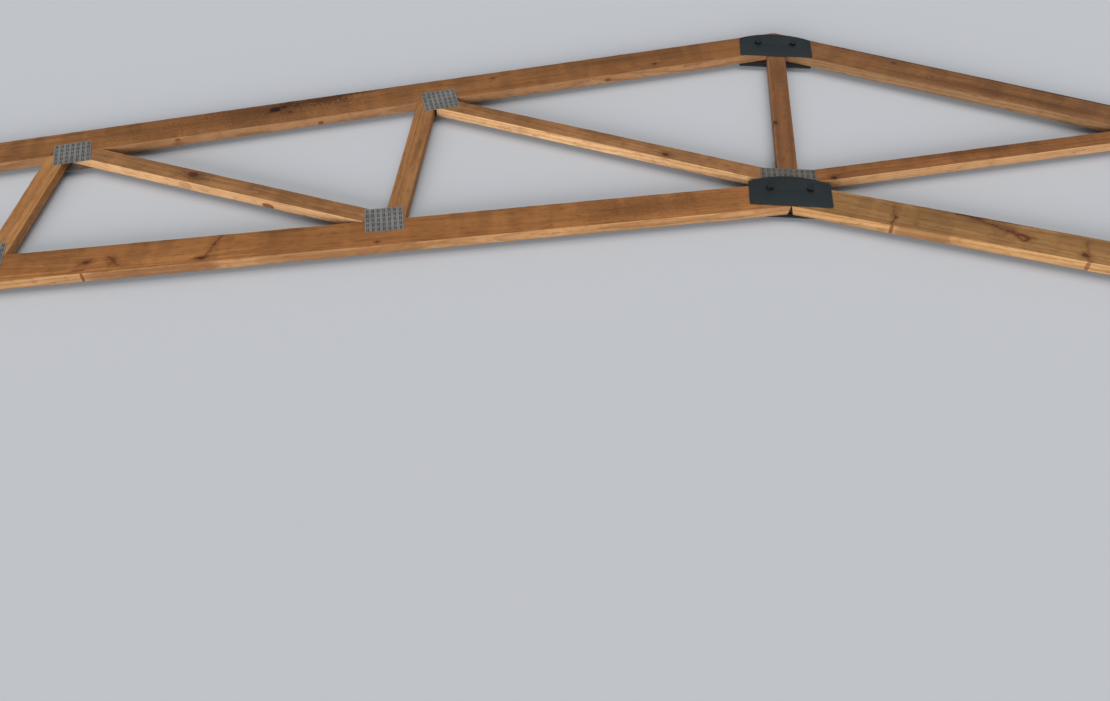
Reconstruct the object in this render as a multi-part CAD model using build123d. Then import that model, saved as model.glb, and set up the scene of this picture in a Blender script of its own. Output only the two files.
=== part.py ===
from build123d import *

import math
import os

# Scissor roof truss, lying flat on its back face with its front face up.
# X runs along the span, Y runs up the truss towards the ridge, Z is the thickness.
# Y is zero where the centre lines of the two bottom chords cross, and every size is in millimetres.

# Overall shape
half_span = 9200.0
top_pitch = 18.5
bottom_pitch = 12.5
tail_overhang = 246.0
heel_butt_setback = 250.0
halves_gap = 3.0
lower_butt_skew = 9.0

# Timber sections
timber_thickness = 38.0
chord_width = 140.0
web_width = 75.0

# Where the two boards of each chord butt together, from the centre
top_butt_from_centre = 4950.0
bottom_butt_from_centre = 3450.0

# Upright positions from the centre, and how far from them the diagonals meet the chords:
# the head before the upright it leans up to, the toe beyond the upright it starts from
upright_positions = {"inner": 1444.0, "middle": 2817.0, "outer": 4190.0, "end": 5563.0}
diagonal_head_offsets = {"inner": 82.0, "middle": 155.0, "outer": 155.0, "end": 155.0}
diagonal_toe_offsets = {"inner": 45.0, "middle": 118.0, "outer": 118.0, "end": 118.0}
diagonal_head_gap = 8.0

# Toothed nail plates
nail_plate_thickness = 1.2
web_plate_length = 140.0
web_plate_height = 127.0
top_plate_shift = 52.0
bottom_plate_shift = 37.0
butt_plate_length = 305.0
butt_plate_height = 127.0
heel_plate_length = 508.0
heel_plate_height = 152.0
heel_plate_beyond_scarf_start = 390.0
ridge_plate_length = 210.0
ridge_plate_height = 140.0
ridge_plate_foot_below_crossing = 112.0
peak_plate_length = 210.0
peak_plate_height = 205.0
peak_plate_foot_below_crossing = 55.0

# Dark splice plates with an arched top edge
splice_length = 305.0
splice_end_height = 130.0
splice_crown_height = 168.0
splice_thickness = 4.0
splice_corner_radius = 5.0
ridge_splice_foot_below_crossing = 117.0
peak_splice_foot_below_crossing = 70.0
back_splice_drop = 15.0

# Bolts and nuts
bolt_spacing = 150.0
bolt_above_splice_foot = 95.0
bolt_diameter = 16.0
bolt_hole_diameter = 18.0
hex_across_flats = 24.0
bolt_head_height = 10.0
nut_height = 13.0
nut_bore_diameter = 16.7
hex_corner_chamfer = 1.6
bolt_tip_beyond_nut = 5.0
bolt_tip_chamfer = 1.5

# Worked out from the sizes above
top_slope = math.tan(math.radians(top_pitch))
bottom_slope = math.tan(math.radians(bottom_pitch))
mid_depth = (top_slope - bottom_slope) * half_span
top_half_depth = chord_width / 2 / math.cos(math.radians(top_pitch))
bottom_half_depth = chord_width / 2 / math.cos(math.radians(bottom_pitch))
tail_from_centre = half_span + tail_overhang
heel_butt_from_centre = half_span - heel_butt_setback
scarf_start = (mid_depth - top_half_depth - bottom_half_depth) / (top_slope - bottom_slope)
top_butt_lean = chord_width / 2 * math.sin(math.radians(top_pitch))
bottom_butt_lean = chord_width / 2 * math.sin(math.radians(bottom_pitch))
half_web = web_width / 2
ridge_bolts_y = mid_depth - ridge_splice_foot_below_crossing + bolt_above_splice_foot
peak_bolts_y = bolt_above_splice_foot - peak_splice_foot_below_crossing
splice_face = timber_thickness + nail_plate_thickness
bolt_face = splice_face + splice_thickness
bolt_tip = timber_thickness - bolt_face - nut_height - bolt_tip_beyond_nut


def top_over(x):
    """Upper edge of the top chord at a distance from the centre."""
    return mid_depth - top_slope * x + top_half_depth


def top_under(x):
    """Lower edge of the top chord at a distance from the centre."""
    return mid_depth - top_slope * x - top_half_depth


def bottom_over(x):
    """Upper edge of the bottom chord at a distance from the centre."""
    return -bottom_slope * x + bottom_half_depth


def bottom_under(x):
    """Lower edge of the bottom chord at a distance from the centre."""
    return -bottom_slope * x - bottom_half_depth


def board(points):
    """A piece of timber with the given outline, its back face at Z = 0."""
    outline = make_face(Polyline(*points, close=True))
    return extrude(outline, timber_thickness, dir=(0, 0, 1))


def bored(timber, bolts_y):
    """The timber with the two bolt holes of one splice drilled through it."""
    for side in (-1, 1):
        centre = Pos(side * bolt_spacing / 2, bolts_y, timber_thickness / 2)
        timber = timber - centre * Cylinder(bolt_hole_diameter / 2, 2 * timber_thickness)
    return timber


def together(pieces):
    """Several separate solids as one node."""
    return Compound([solid for piece in pieces for solid in piece.solids()])


def to_left(shape):
    """The same piece on the other half of the truss."""
    return mirror(shape, about=Plane.YZ)


def nail_plates(length, height, x, y, turn=0.0, bolts_y=None):
    """A front and a back nail plate of one joint, as two solids."""
    face = Pos(x, y) * Rot(0, 0, turn) * Rectangle(length, height)
    if bolts_y is not None:
        for side in (-1, 1):
            face = face - Pos(side * bolt_spacing / 2, bolts_y) * Circle(bolt_hole_diameter / 2)
    plate = extrude(face, nail_plate_thickness, dir=(0, 0, 1))
    front = Pos(0, 0, timber_thickness) * plate
    back = Pos(0, 0, -nail_plate_thickness) * plate
    return together([front, back])


def splice_plate(bolts_y, drop, z):
    """A splice plate with plumb ends, a level foot and an arched top edge, its back face at a Z."""
    half = splice_length / 2
    foot = bolts_y - bolt_above_splice_foot - drop
    left_shoulder = (-half, foot + splice_end_height)
    right_shoulder = (half, foot + splice_end_height)
    edges = [
        Line((-half, foot), (half, foot)),
        Line((half, foot), right_shoulder),
        ThreePointArc(right_shoulder, (0, foot + splice_crown_height), left_shoulder),
        Line(left_shoulder, (-half, foot)),
    ]
    face = make_face(edges)
    face = fillet(face.vertices(), splice_corner_radius)
    for side in (-1, 1):
        face = face - Pos(side * bolt_spacing / 2, bolts_y) * Circle(bolt_hole_diameter / 2)
    return Pos(0, 0, z) * extrude(face, splice_thickness, dir=(0, 0, 1))


def hexagon_block(height):
    """A hexagon with its outer corners turned off at the far end, standing on Z = 0."""
    corner_radius = hex_across_flats / math.sqrt(3)
    block = extrude(RegularPolygon(corner_radius, 6), height)
    turned = Pos(0, 0, height / 2) * Cylinder(corner_radius, height)
    turned = chamfer(turned.edges().sort_by(Axis.Z)[-1], hex_corner_chamfer)
    return block & turned


def bolt():
    """A bolt with its head on the front splice plate and its tip below the nut."""
    head = Pos(0, 0, bolt_face) * hexagon_block(bolt_head_height)
    shank = Cylinder(bolt_diameter / 2, bolt_face - bolt_tip, align=(Align.CENTER, Align.CENTER, Align.MAX))
    shank = chamfer(shank.edges().sort_by(Axis.Z)[0], bolt_tip_chamfer)
    return head + Pos(0, 0, bolt_face) * shank


def nut():
    """A nut under the back splice plate."""
    body = hexagon_block(nut_height)
    body = body - Pos(0, 0, nut_height / 2) * Cylinder(nut_bore_diameter / 2, 2 * nut_height)
    return Pos(0, 0, timber_thickness - bolt_face) * Rot(180, 0, 0) * body


def at_both_bolts(shape, bolts_y):
    """The piece at each of the two bolts of one splice, as two solids."""
    return together([Pos(side * bolt_spacing / 2, bolts_y) * shape for side in (-1, 1)])


nodes = {}

# Top chord, two boards butted square: a plumb cut at the ridge and another at the tail
start = halves_gap / 2
butt_over = top_butt_from_centre + top_butt_lean
butt_under = top_butt_from_centre - top_butt_lean
top_chord_inner = board([
    (start, top_under(start)),
    (start, top_over(start)),
    (butt_over, top_over(butt_over)),
    (butt_under, top_under(butt_under)),
])
top_chord_inner = bored(top_chord_inner, ridge_bolts_y)
top_chord_outer = board([
    (butt_under, top_under(butt_under)),
    (butt_over, top_over(butt_over)),
    (tail_from_centre, top_over(tail_from_centre)),
    (tail_from_centre, top_under(tail_from_centre)),
])
nodes["top_chord_inner_right"] = top_chord_inner
nodes["top_chord_inner_left"] = to_left(top_chord_inner)
nodes["top_chord_outer_right"] = top_chord_outer
nodes["top_chord_outer_left"] = to_left(top_chord_outer)

# Bottom chord, two boards: a plumb cut at the middle, and a long scarf under the top chord at the heel
butt_over = bottom_butt_from_centre + bottom_butt_lean
butt_under = bottom_butt_from_centre - bottom_butt_lean
bottom_chord_inner = board([
    (start, bottom_under(start)),
    (start, bottom_over(start)),
    (butt_over, bottom_over(butt_over)),
    (butt_under, bottom_under(butt_under)),
])
# The saw ran out of square through the thickness here, so the butt opens towards the back
waste_corners = [(0, 0), (start + lower_butt_skew, 0), (start, timber_thickness), (0, timber_thickness)]
waste_outline = make_face(Plane.XZ * Polyline(*waste_corners, close=True))
bottom_chord_inner = bottom_chord_inner - extrude(waste_outline, chord_width, both=True)
bottom_chord_inner = bored(bottom_chord_inner, peak_bolts_y)
bottom_chord_outer = board([
    (butt_under, bottom_under(butt_under)),
    (butt_over, bottom_over(butt_over)),
    (scarf_start, bottom_over(scarf_start)),
    (heel_butt_from_centre, top_under(heel_butt_from_centre)),
    (heel_butt_from_centre, bottom_under(heel_butt_from_centre)),
])
nodes["bottom_chord_inner_right"] = bottom_chord_inner
nodes["bottom_chord_inner_left"] = to_left(bottom_chord_inner)
nodes["bottom_chord_outer_right"] = bottom_chord_outer
nodes["bottom_chord_outer_left"] = to_left(bottom_chord_outer)

# King post: pointed at the top, notched over the peak of the bottom chords at the foot
nodes["king_post"] = board([
    (-half_web, bottom_over(half_web)),
    (0, bottom_over(0)),
    (half_web, bottom_over(half_web)),
    (half_web, top_under(half_web)),
    (0, top_under(0)),
    (-half_web, top_under(half_web)),
])

# Uprights, cut to the slope of each chord
for name, centre in upright_positions.items():
    inner_side = centre - half_web
    outer_side = centre + half_web
    upright = board([
        (inner_side, bottom_over(inner_side)),
        (inner_side, top_under(inner_side)),
        (outer_side, top_under(outer_side)),
        (outer_side, bottom_over(outer_side)),
    ])
    nodes["upright_" + name + "_right"] = upright
    nodes["upright_" + name + "_left"] = to_left(upright)

# Diagonals, each with a double cut at both ends: along the chord and plumb against the upright
foot_centre = 0.0
for name, head_centre in upright_positions.items():
    head_x = head_centre - diagonal_head_offsets[name]
    toe_x = foot_centre + diagonal_toe_offsets[name]
    rise = top_under(head_x) - bottom_over(toe_x)
    run = head_x - toe_x
    lean = math.atan2(rise, run) - math.asin(web_width / math.hypot(rise, run))
    head_side = head_centre - half_web - diagonal_head_gap
    toe_side = foot_centre + half_web
    diagonal = board([
        (head_x, top_under(head_x)),
        (head_side, top_under(head_side)),
        (head_side, bottom_over(toe_x) + (head_side - toe_x) * math.tan(lean)),
        (toe_x, bottom_over(toe_x)),
        (toe_side, bottom_over(toe_side)),
        (toe_side, top_under(head_x) - (head_x - toe_side) * math.tan(lean)),
    ])
    nodes["diagonal_" + name + "_right"] = diagonal
    nodes["diagonal_" + name + "_left"] = to_left(diagonal)
    foot_centre = head_centre

# Nail plates at both ends of every upright, front and back
for name, centre in upright_positions.items():
    top_x = centre - top_plate_shift
    bottom_x = centre + bottom_plate_shift
    top_pair = nail_plates(web_plate_length, web_plate_height, top_x, top_under(top_x), -top_pitch)
    bottom_pair = nail_plates(
        web_plate_length, web_plate_height, bottom_x, bottom_over(bottom_x), -bottom_pitch
    )
    nodes["nail_plates_top_" + name + "_right"] = top_pair
    nodes["nail_plates_top_" + name + "_left"] = to_left(top_pair)
    nodes["nail_plates_bottom_" + name + "_right"] = bottom_pair
    nodes["nail_plates_bottom_" + name + "_left"] = to_left(bottom_pair)

# Nail plates over the butts of the chords, on their centre lines
top_butt_y = mid_depth - top_slope * top_butt_from_centre
bottom_butt_y = -bottom_slope * bottom_butt_from_centre
top_butt_pair = nail_plates(
    butt_plate_length, butt_plate_height, top_butt_from_centre, top_butt_y, -top_pitch
)
bottom_butt_pair = nail_plates(
    butt_plate_length, butt_plate_height, bottom_butt_from_centre, bottom_butt_y, -bottom_pitch
)
nodes["nail_plates_top_butt_right"] = top_butt_pair
nodes["nail_plates_top_butt_left"] = to_left(top_butt_pair)
nodes["nail_plates_bottom_butt_right"] = bottom_butt_pair
nodes["nail_plates_bottom_butt_left"] = to_left(bottom_butt_pair)

# Heel plates over the scarf, turned half way between the two chords
heel_x = scarf_start + heel_plate_beyond_scarf_start
heel_turn = -(top_pitch + bottom_pitch) / 2
heel_pair = nail_plates(heel_plate_length, heel_plate_height, heel_x, top_under(heel_x), heel_turn)
nodes["nail_plates_heel_right"] = heel_pair
nodes["nail_plates_heel_left"] = to_left(heel_pair)

# Nail plates at the two ends of the king post, with the splice bolts through them
ridge_plate_y = mid_depth - ridge_plate_foot_below_crossing + ridge_plate_height / 2
peak_plate_y = peak_plate_height / 2 - peak_plate_foot_below_crossing
nodes["nail_plates_ridge"] = nail_plates(
    ridge_plate_length, ridge_plate_height, 0, ridge_plate_y, bolts_y=ridge_bolts_y
)
nodes["nail_plates_peak"] = nail_plates(
    peak_plate_length, peak_plate_height, 0, peak_plate_y, bolts_y=peak_bolts_y
)

# Splice plates and their bolts at the ridge and at the peak of the bottom chords
for name, bolts_y in (("ridge", ridge_bolts_y), ("peak", peak_bolts_y)):
    nodes["splice_plate_" + name + "_front"] = splice_plate(bolts_y, 0, splice_face)
    nodes["splice_plate_" + name + "_back"] = splice_plate(
        bolts_y, back_splice_drop, timber_thickness - bolt_face
    )
    nodes["bolts_" + name] = at_both_bolts(bolt(), bolts_y)
    nodes["nuts_" + name] = at_both_bolts(nut(), bolts_y)

# The tips of the bolts stand on the floor, and the middle of the outline is over the origin
highest_y = top_over(halves_gap / 2)
lowest_y = top_under(tail_from_centre)
to_floor = Pos(0, -(highest_y + lowest_y) / 2, -bolt_tip)

os.makedirs("parts", exist_ok=True)
for name, shape in nodes.items():
    export_step(to_floor * shape, "parts/" + name + ".step")
print(len(nodes), "parts written; the lower crossing is at Y", round(-(highest_y + lowest_y) / 2, 3))
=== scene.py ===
# %% [markdown]
# # A scissor roof truss of sawn pine
# The truss lies on its back face, as it would on a workshop floor: X runs along the span, Y up the
# truss towards the ridge, and Z out of its front face. The solids come from the CAD part, and this
# lesson dresses them: timbers with worn edges, grain and knots, punched nail plates, dark splice
# plates with an arched top, and bolts with real threads. First the frame is loaded, with a helper
# that reads the box of each of its nodes.

# %% Load the frame
import bpy
import math
from mathutils import Matrix, Vector


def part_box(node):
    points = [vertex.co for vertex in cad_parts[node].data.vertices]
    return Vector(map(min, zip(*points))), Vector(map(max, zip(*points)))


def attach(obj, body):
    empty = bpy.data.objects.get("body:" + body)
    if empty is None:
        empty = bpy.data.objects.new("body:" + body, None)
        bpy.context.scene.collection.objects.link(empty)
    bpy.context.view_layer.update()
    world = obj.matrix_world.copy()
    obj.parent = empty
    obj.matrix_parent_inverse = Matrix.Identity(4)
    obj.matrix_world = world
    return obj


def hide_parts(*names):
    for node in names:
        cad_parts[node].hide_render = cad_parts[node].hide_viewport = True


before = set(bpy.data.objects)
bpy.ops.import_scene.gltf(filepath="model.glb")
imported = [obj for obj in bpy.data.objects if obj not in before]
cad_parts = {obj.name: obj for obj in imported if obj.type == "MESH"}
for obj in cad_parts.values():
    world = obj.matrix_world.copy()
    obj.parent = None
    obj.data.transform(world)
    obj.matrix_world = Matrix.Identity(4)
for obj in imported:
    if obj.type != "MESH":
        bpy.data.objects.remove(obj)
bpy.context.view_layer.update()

# %% [markdown]
# ## The truss's own sizes
# A carpenter sets out a truss from two pitches and a span, and every cut follows from them. The same
# few values are written here in metres, and the cuts are worked out again, so a timber ends where
# its neighbour begins. The place of the wood between front and back comes from the king post's box.
# Two places closer than `touching` count as one, and `hair` is a tenth of a millimetre.

# %% Set out the truss
half_span = 9.2
top_slope = math.tan(math.radians(18.5))
bottom_slope = math.tan(math.radians(12.5))
tail_from_centre = 9.446
heel_butt_from_centre = 8.95
half_gap = 0.0015
lower_butt_skew = 0.009
thickness = 0.038
chord_width = 0.140
web_width = 0.075
half_web = web_width / 2
top_butt, bottom_butt = 4.95, 3.45
panel_points = {"inner": 1.444, "middle": 2.817, "outer": 4.190, "end": 5.563}
head_offsets = {"inner": 0.082, "middle": 0.155, "outer": 0.155, "end": 0.155}
toe_offsets = {"inner": 0.045, "middle": 0.118, "outer": 0.118, "end": 0.118}
head_gap = 0.008
hands = {"left": -1, "right": 1}
touching = 0.00001
hair = 0.0001

mid_depth = (top_slope - bottom_slope) * half_span
top_half_depth = chord_width / 2 * math.hypot(1, top_slope)
bottom_half_depth = chord_width / 2 * math.hypot(1, bottom_slope)
wood_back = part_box("king_post")[0].z
wood_front = wood_back + thickness
wood_middle = wood_back + thickness / 2
lower_crossing = -(mid_depth * 2 - top_slope * (half_gap + tail_from_centre)) / 2
upper_crossing = lower_crossing + mid_depth


def top_middle(x):
    """The Y of the top chord's centre line at a distance from the centre."""
    return upper_crossing - top_slope * abs(x)


def top_under(x):
    """The Y of the top chord's lower edge."""
    return top_middle(x) - top_half_depth


def bottom_middle(x):
    """The Y of the bottom chord's centre line."""
    return lower_crossing - bottom_slope * abs(x)


def bottom_over(x):
    """The Y of the bottom chord's upper edge."""
    return bottom_middle(x) + bottom_half_depth


print("lower crossing at Y", round(lower_crossing, 4))
print("wood from Z", round(wood_back, 4), "to", round(wood_front, 4))

# %% [markdown]
# ## Small helpers for modelling
# Operators act on whatever is selected, so each step starts from a clean selection. `alone` leaves
# one object selected, and `added` makes a primitive the only one. `edit` opens an object in edit mode
# with only the faces, edges or corners that pass a test, and `leave_edit` closes it. `settle` writes
# an object's place into its mesh, and `apply_all` makes its modifiers real.


# %% Selection helpers
def alone(piece):
    """Makes the piece the only selected object."""
    bpy.ops.object.select_all(action="DESELECT")
    piece.select_set(True)
    bpy.context.view_layer.objects.active = piece


def added(primitive, **sizes):
    """A new primitive, added while nothing else is selected."""
    bpy.ops.object.select_all(action="DESELECT")
    primitive(**sizes)
    return bpy.context.object


def edit(piece, kind, test):
    """Opens the piece in edit mode with the parts of one kind selected that pass the test."""
    alone(piece)
    mesh = piece.data
    for parts in (mesh.vertices, mesh.edges, mesh.polygons):
        parts.foreach_set("select", [False] * len(parts))
    parts = {"VERT": mesh.vertices, "EDGE": mesh.edges, "FACE": mesh.polygons}[kind]
    for part in parts:
        part.select = test(part)
    bpy.context.tool_settings.mesh_select_mode = (kind == "VERT", kind == "EDGE", kind == "FACE")
    bpy.ops.object.mode_set(mode="EDIT")


def leave_edit():
    """Goes back from edit mode to object mode."""
    bpy.ops.object.mode_set(mode="OBJECT")


def settle(piece):
    """Puts the object's place, turn and scale into its mesh."""
    alone(piece)
    bpy.ops.object.transform_apply(location=True, rotation=True, scale=True)
    return piece


def everything(part):
    """The test that selects all of a mesh."""
    return True


def is_at(value, distance):
    """Whether a coordinate lies at a distance from zero, on either side."""
    return abs(abs(value) - distance) < touching


def ends_of(piece, edge):
    """The two corners of an edge."""
    return [piece.data.vertices[i].co for i in edge.vertices]


def apply_all(piece):
    """Applies the piece's modifiers from the first to the last."""
    alone(piece)
    for modifier in list(piece.modifiers):
        bpy.ops.object.modifier_apply(modifier=modifier.name)


# %% [markdown]
# ## A length of sawn timber
# Truss timber comes planed, with its long edges eased by a millimetre or two, and handling dents
# them. A cube is scaled to the board, its four long edges are bevelled, and then it is divided every
# few centimetres, so that a Displace modifier with a cloud texture can bruise the eased edges
# inwards. The board only gets its true ends afterwards, because a saw leaves them crisp, so each
# blank has some length to spare. The place and the turn of every board are noted for its grain.

# %% Make a board blank
edge_ease = 0.0022
bruise_depth = 0.0016
station_length = 0.028
spare_length = {"chord": 0.20, "king_post": 0.10, "upright": 0.12, "diagonal": 0.30}
bruises = bpy.data.textures.new("bruised_edges", "CLOUDS")
bruises.noise_scale = 0.035
bruises.contrast = 2.2
bruises.intensity = 1.25
timbers = {}
grain_lines = {}


def board_blank(name, length, width, middle, turn):
    """A length of timber longer than the finished piece, in its place, with eased and bruised edges."""
    blank = added(bpy.ops.mesh.primitive_cube_add, size=1)
    blank.name = blank.data.name = "pine_" + name
    blank.scale = (length, width, thickness)
    settle(blank)

    def runs_along(least):
        """The test for edges that run along the board for more than a length."""
        def test(edge):
            a, b = ends_of(blank, edge)
            return abs(a.x - b.x) > least

        return test

    edit(blank, "EDGE", runs_along(length / 2))
    bpy.ops.mesh.bevel(offset=edge_ease, segments=2, affect="EDGES")
    leave_edit()
    cuts = max(1, round(math.sqrt(length / station_length)) - 1)
    for least in (length / 2, station_length / 2):
        edit(blank, "EDGE", runs_along(least))
        bpy.ops.mesh.subdivide(number_cuts=cuts)
        leave_edit()

    centre = Vector((middle[0], middle[1], wood_middle))
    blank.rotation_euler = (0, 0, turn)
    blank.location = centre
    settle(blank)
    across = Vector((-math.sin(turn), math.cos(turn), 0))
    arris = blank.vertex_groups.new(name="arris")
    for corner in blank.data.vertices:
        away = corner.co - centre
        if abs(away.dot(across)) < width / 2 - touching and abs(away.z) < thickness / 2 - touching:
            arris.add([corner.index], 1.0, "REPLACE")
    bruise = blank.modifiers.new("bruise", "DISPLACE")
    bruise.texture = bruises
    bruise.texture_coords = "LOCAL"
    bruise.mid_level = 1.0
    bruise.strength = bruise_depth
    bruise.vertex_group = arris.name
    apply_all(blank)
    blank.vertex_groups.clear()
    timbers[name] = blank
    grain_lines[name] = (centre, turn)
    return blank


def saw(piece, point, outwards, tilt=0.0):
    """Cuts the piece through a point of its front face and drops what lies on the outward side."""
    edit(piece, "FACE", everything)
    bpy.ops.mesh.bisect(
        plane_co=(point[0], point[1], wood_front),
        plane_no=(outwards[0], outwards[1], tilt),
        use_fill=True,
        clear_outer=True,
    )
    leave_edit()


print("edges eased by", round(edge_ease * 1000, 1), "mm, bruises up to", round(bruise_depth * 1000, 1), "mm")

# %% [markdown]
# ## The holes for the splice bolts
# The chords are drilled right through where the splice bolts pass. A Boolean with two cylinders does
# what the auger does. The bolts stand at one height above the feet of the front splice plates.

# %% Drill for the bolts
bolt_spacing = 0.150
bolt_hole_diameter = 0.018
bolts_above_foot = 0.095
auger_reach = 0.1
splice_feet = {"ridge": upper_crossing - 0.117, "peak": lower_crossing - 0.070}
bolts_y = {joint: foot + bolts_above_foot for joint, foot in splice_feet.items()}


def cylinder(sides, radius, low, high, x=0, y=0):
    """An upright cylinder between two heights."""
    middle = (x, y, (low + high) / 2)
    size = {"vertices": sides, "radius": radius, "depth": high - low}
    return settle(added(bpy.ops.mesh.primitive_cylinder_add, location=middle, **size))


def carve(piece, tool, operation):
    """A Boolean of the piece with another object, which is used up."""
    step = piece.modifiers.new("carve", "BOOLEAN")
    step.operation = operation
    step.object = tool
    step.solver = "EXACT"
    apply_all(piece)
    bpy.data.objects.remove(tool)


def joined(pieces, name):
    """Several objects as one, for nodes that hold like pieces."""
    alone(pieces[0])
    for piece in pieces[1:]:
        piece.select_set(True)
    bpy.ops.object.join()
    pieces[0].name = pieces[0].data.name = name
    return pieces[0]


def drill(piece, joint):
    """Bores the bolt holes of one splice through the piece."""
    low, high = wood_middle - auger_reach, wood_middle + auger_reach
    augers = [
        cylinder(28, bolt_hole_diameter / 2, low, high, side * bolt_spacing / 2, bolts_y[joint])
        for side in (-1, 1)
    ]
    carve(piece, joined(augers, "auger"), "DIFFERENCE")


print("bolt holes at Y", {joint: round(y, 4) for joint, y in bolts_y.items()})

# %% [markdown]
# ## The chords
# Each chord is made of two boards that butt together square to their length. The top chords are cut
# plumb at the ridge and at the tail. The bottom chords are cut plumb at the middle, and at the heel
# a long scarf lets them lie under the top chords. At the lower peak the saw ran out of square, so
# the butt opens towards the back. Each board is made from its own blank, not mirrored, because no
# two boards are bruised alike.


# %% Cut the chords
def chord_board(name, side, near, far, slope, centre_line):
    """A blank for a chord board that reaches from one distance from the centre to another."""
    x = (near + far) / 2
    length = (far - near) * math.hypot(1, slope) + spare_length["chord"]
    return board_blank(name, length, chord_width, (side * x, centre_line(x)), -side * math.atan(slope))


for hand, side in hands.items():
    top_butt_at = (side * top_butt, top_middle(top_butt))
    bottom_butt_at = (side * bottom_butt, bottom_middle(bottom_butt))
    chord = chord_board("top_chord_inner_" + hand, side, 0, top_butt, top_slope, top_middle)
    saw(chord, (side * half_gap, 0), (-side, 0))
    saw(chord, top_butt_at, (side, -top_slope))
    drill(chord, "ridge")
    chord = chord_board("top_chord_outer_" + hand, side, top_butt, tail_from_centre, top_slope, top_middle)
    saw(chord, top_butt_at, (-side, top_slope))
    saw(chord, (side * tail_from_centre, 0), (side, 0))

    chord = chord_board("bottom_chord_inner_" + hand, side, 0, bottom_butt, bottom_slope, bottom_middle)
    saw(chord, (side * half_gap, 0), (-side, 0), -lower_butt_skew / thickness)
    saw(chord, bottom_butt_at, (side, -bottom_slope))
    drill(chord, "peak")
    chord = chord_board(
        "bottom_chord_outer_" + hand, side, bottom_butt, heel_butt_from_centre, bottom_slope, bottom_middle
    )
    saw(chord, bottom_butt_at, (-side, bottom_slope))
    saw(chord, (side * heel_butt_from_centre, 0), (side, 0))
    saw(chord, (side * half_span, top_under(half_span)), (side * top_slope, 1))
top_length = tail_from_centre * math.hypot(1, top_slope)
print(len(timbers), "chord boards, and the top chord is", round(top_length, 2), "m long")

# %% [markdown]
# ## The king post and the uprights
# The uprights only need two sloping cuts. The king post is pointed at its head, under the two top
# chords, and its foot sits over the peak of the bottom chords like a saddle. A saw plane can't make
# that hollow, so its foot is cut square, split at the middle, and the middle corners are moved up.

# %% Cut the king post and the uprights
foot, head = bottom_over(half_web), top_under(0)
length = head - foot + spare_length["king_post"]
post = board_blank("king_post", length, web_width, (0, (foot + head) / 2), math.pi / 2)
for side in (-1, 1):
    saw(post, (0, head), (side * top_slope, 1))
saw(post, (0, foot), (0, -1))
edit(post, "FACE", everything)
bpy.ops.mesh.bisect(plane_co=(0, 0, 0), plane_no=(1, 0, 0))
leave_edit()
edit(post, "VERT", lambda corner: is_at(corner.co.x, 0) and corner.co.y < foot + hair)
bpy.ops.transform.translate(value=(0, bottom_over(0) - foot, 0))
leave_edit()

for place, x in panel_points.items():
    foot, head = bottom_over(x), top_under(x)
    length = head - foot + spare_length["upright"]
    for hand, side in hands.items():
        name = "upright_" + place + "_" + hand
        post = board_blank(name, length, web_width, (side * x, (foot + head) / 2), math.pi / 2)
        saw(post, (side * x, head), (side * top_slope, 1))
        saw(post, (side * x, foot), (-side * bottom_slope, -1))
print(len(timbers), "timbers so far")

# %% [markdown]
# ## The diagonals
# A diagonal rises from the foot of one upright to the head of the next one out. Both ends get a
# double cut: one along the chord and one plumb. At its foot it bears on the upright beside it, and
# at its head a gap of a finger's width stays open.

# %% Cut the diagonals
foot_x = 0.0
for place, head_x in panel_points.items():
    toe_x, tip_x = foot_x + toe_offsets[place], head_x - head_offsets[place]
    rise, run = top_under(tip_x) - bottom_over(toe_x), tip_x - toe_x
    reach = math.hypot(rise, run)
    lean = math.atan2(rise, run) - math.asin(web_width / reach)
    from_toe = math.cos(lean) * reach / 2 - math.sin(lean) * half_web
    over_toe = math.sin(lean) * reach / 2 + math.cos(lean) * half_web
    for hand, side in hands.items():
        name = "diagonal_" + place + "_" + hand
        middle = (side * (toe_x + from_toe), bottom_over(toe_x) + over_toe)
        brace = board_blank(name, reach + spare_length["diagonal"], web_width, middle, side * lean)
        saw(brace, (side * tip_x, top_under(tip_x)), (side * top_slope, 1))
        saw(brace, (side * (head_x - half_web - head_gap), 0), (side, 0))
        saw(brace, (side * toe_x, bottom_over(toe_x)), (-side * bottom_slope, -1))
        saw(brace, (side * (foot_x + half_web), 0), (-side, 0))
    foot_x = head_x
print(len(timbers), "timbers, and the last diagonal leans", round(math.degrees(lean), 1), "degrees")

# %% [markdown]
# ## Do the timbers match the solids?
# Each timber must fill the same space as its CAD node. Comparing the two boxes catches a wrong cut
# at once, before any finish is laid on it.

# %% Compare the timbers with their nodes
def smooth(piece, degrees):
    """Shades the piece smooth, except over edges sharper than an angle."""
    alone(piece)
    bpy.ops.object.shade_smooth_by_angle(angle=math.radians(degrees))


worst = 0.0
for name, piece in timbers.items():
    low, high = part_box(name)
    for axis in range(3):
        values = [corner.co[axis] for corner in piece.data.vertices]
        worst = max(worst, abs(min(values) - low[axis]), abs(max(values) - high[axis]))
    smooth(piece, 32)
    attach(piece, "root")
    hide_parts(name)
print("largest difference from the nodes' boxes", round(worst * 1000, 2), "mm")

# %% [markdown]
# ## Punched nail plates
# A nail plate is galvanised sheet in which long slots are punched in pairs, and the metal of each
# slot is bent back as teeth that a press drives into the wood. From in front the plate shows pale
# ribs between dark columns. One cell is modelled: a small plane is inset, its inner face is
# stretched to the slot and pressed in, and the short edges get the round bend of the teeth. Two
# such slots lie side by side with a narrow rib between them. Two Array modifiers repeat the pair
# over the plate, and a skirt and a back close the sheet.

# %% Punch one slot
sheet = 0.0012
slot_width = 0.0042
slot_rib = 0.0017
slot_floor = 0.00095
slot_share = 0.90
first_inset = 0.2
floor_shares = (0.74, 0.94, 1)
tooth_bend = 0.0006


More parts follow.
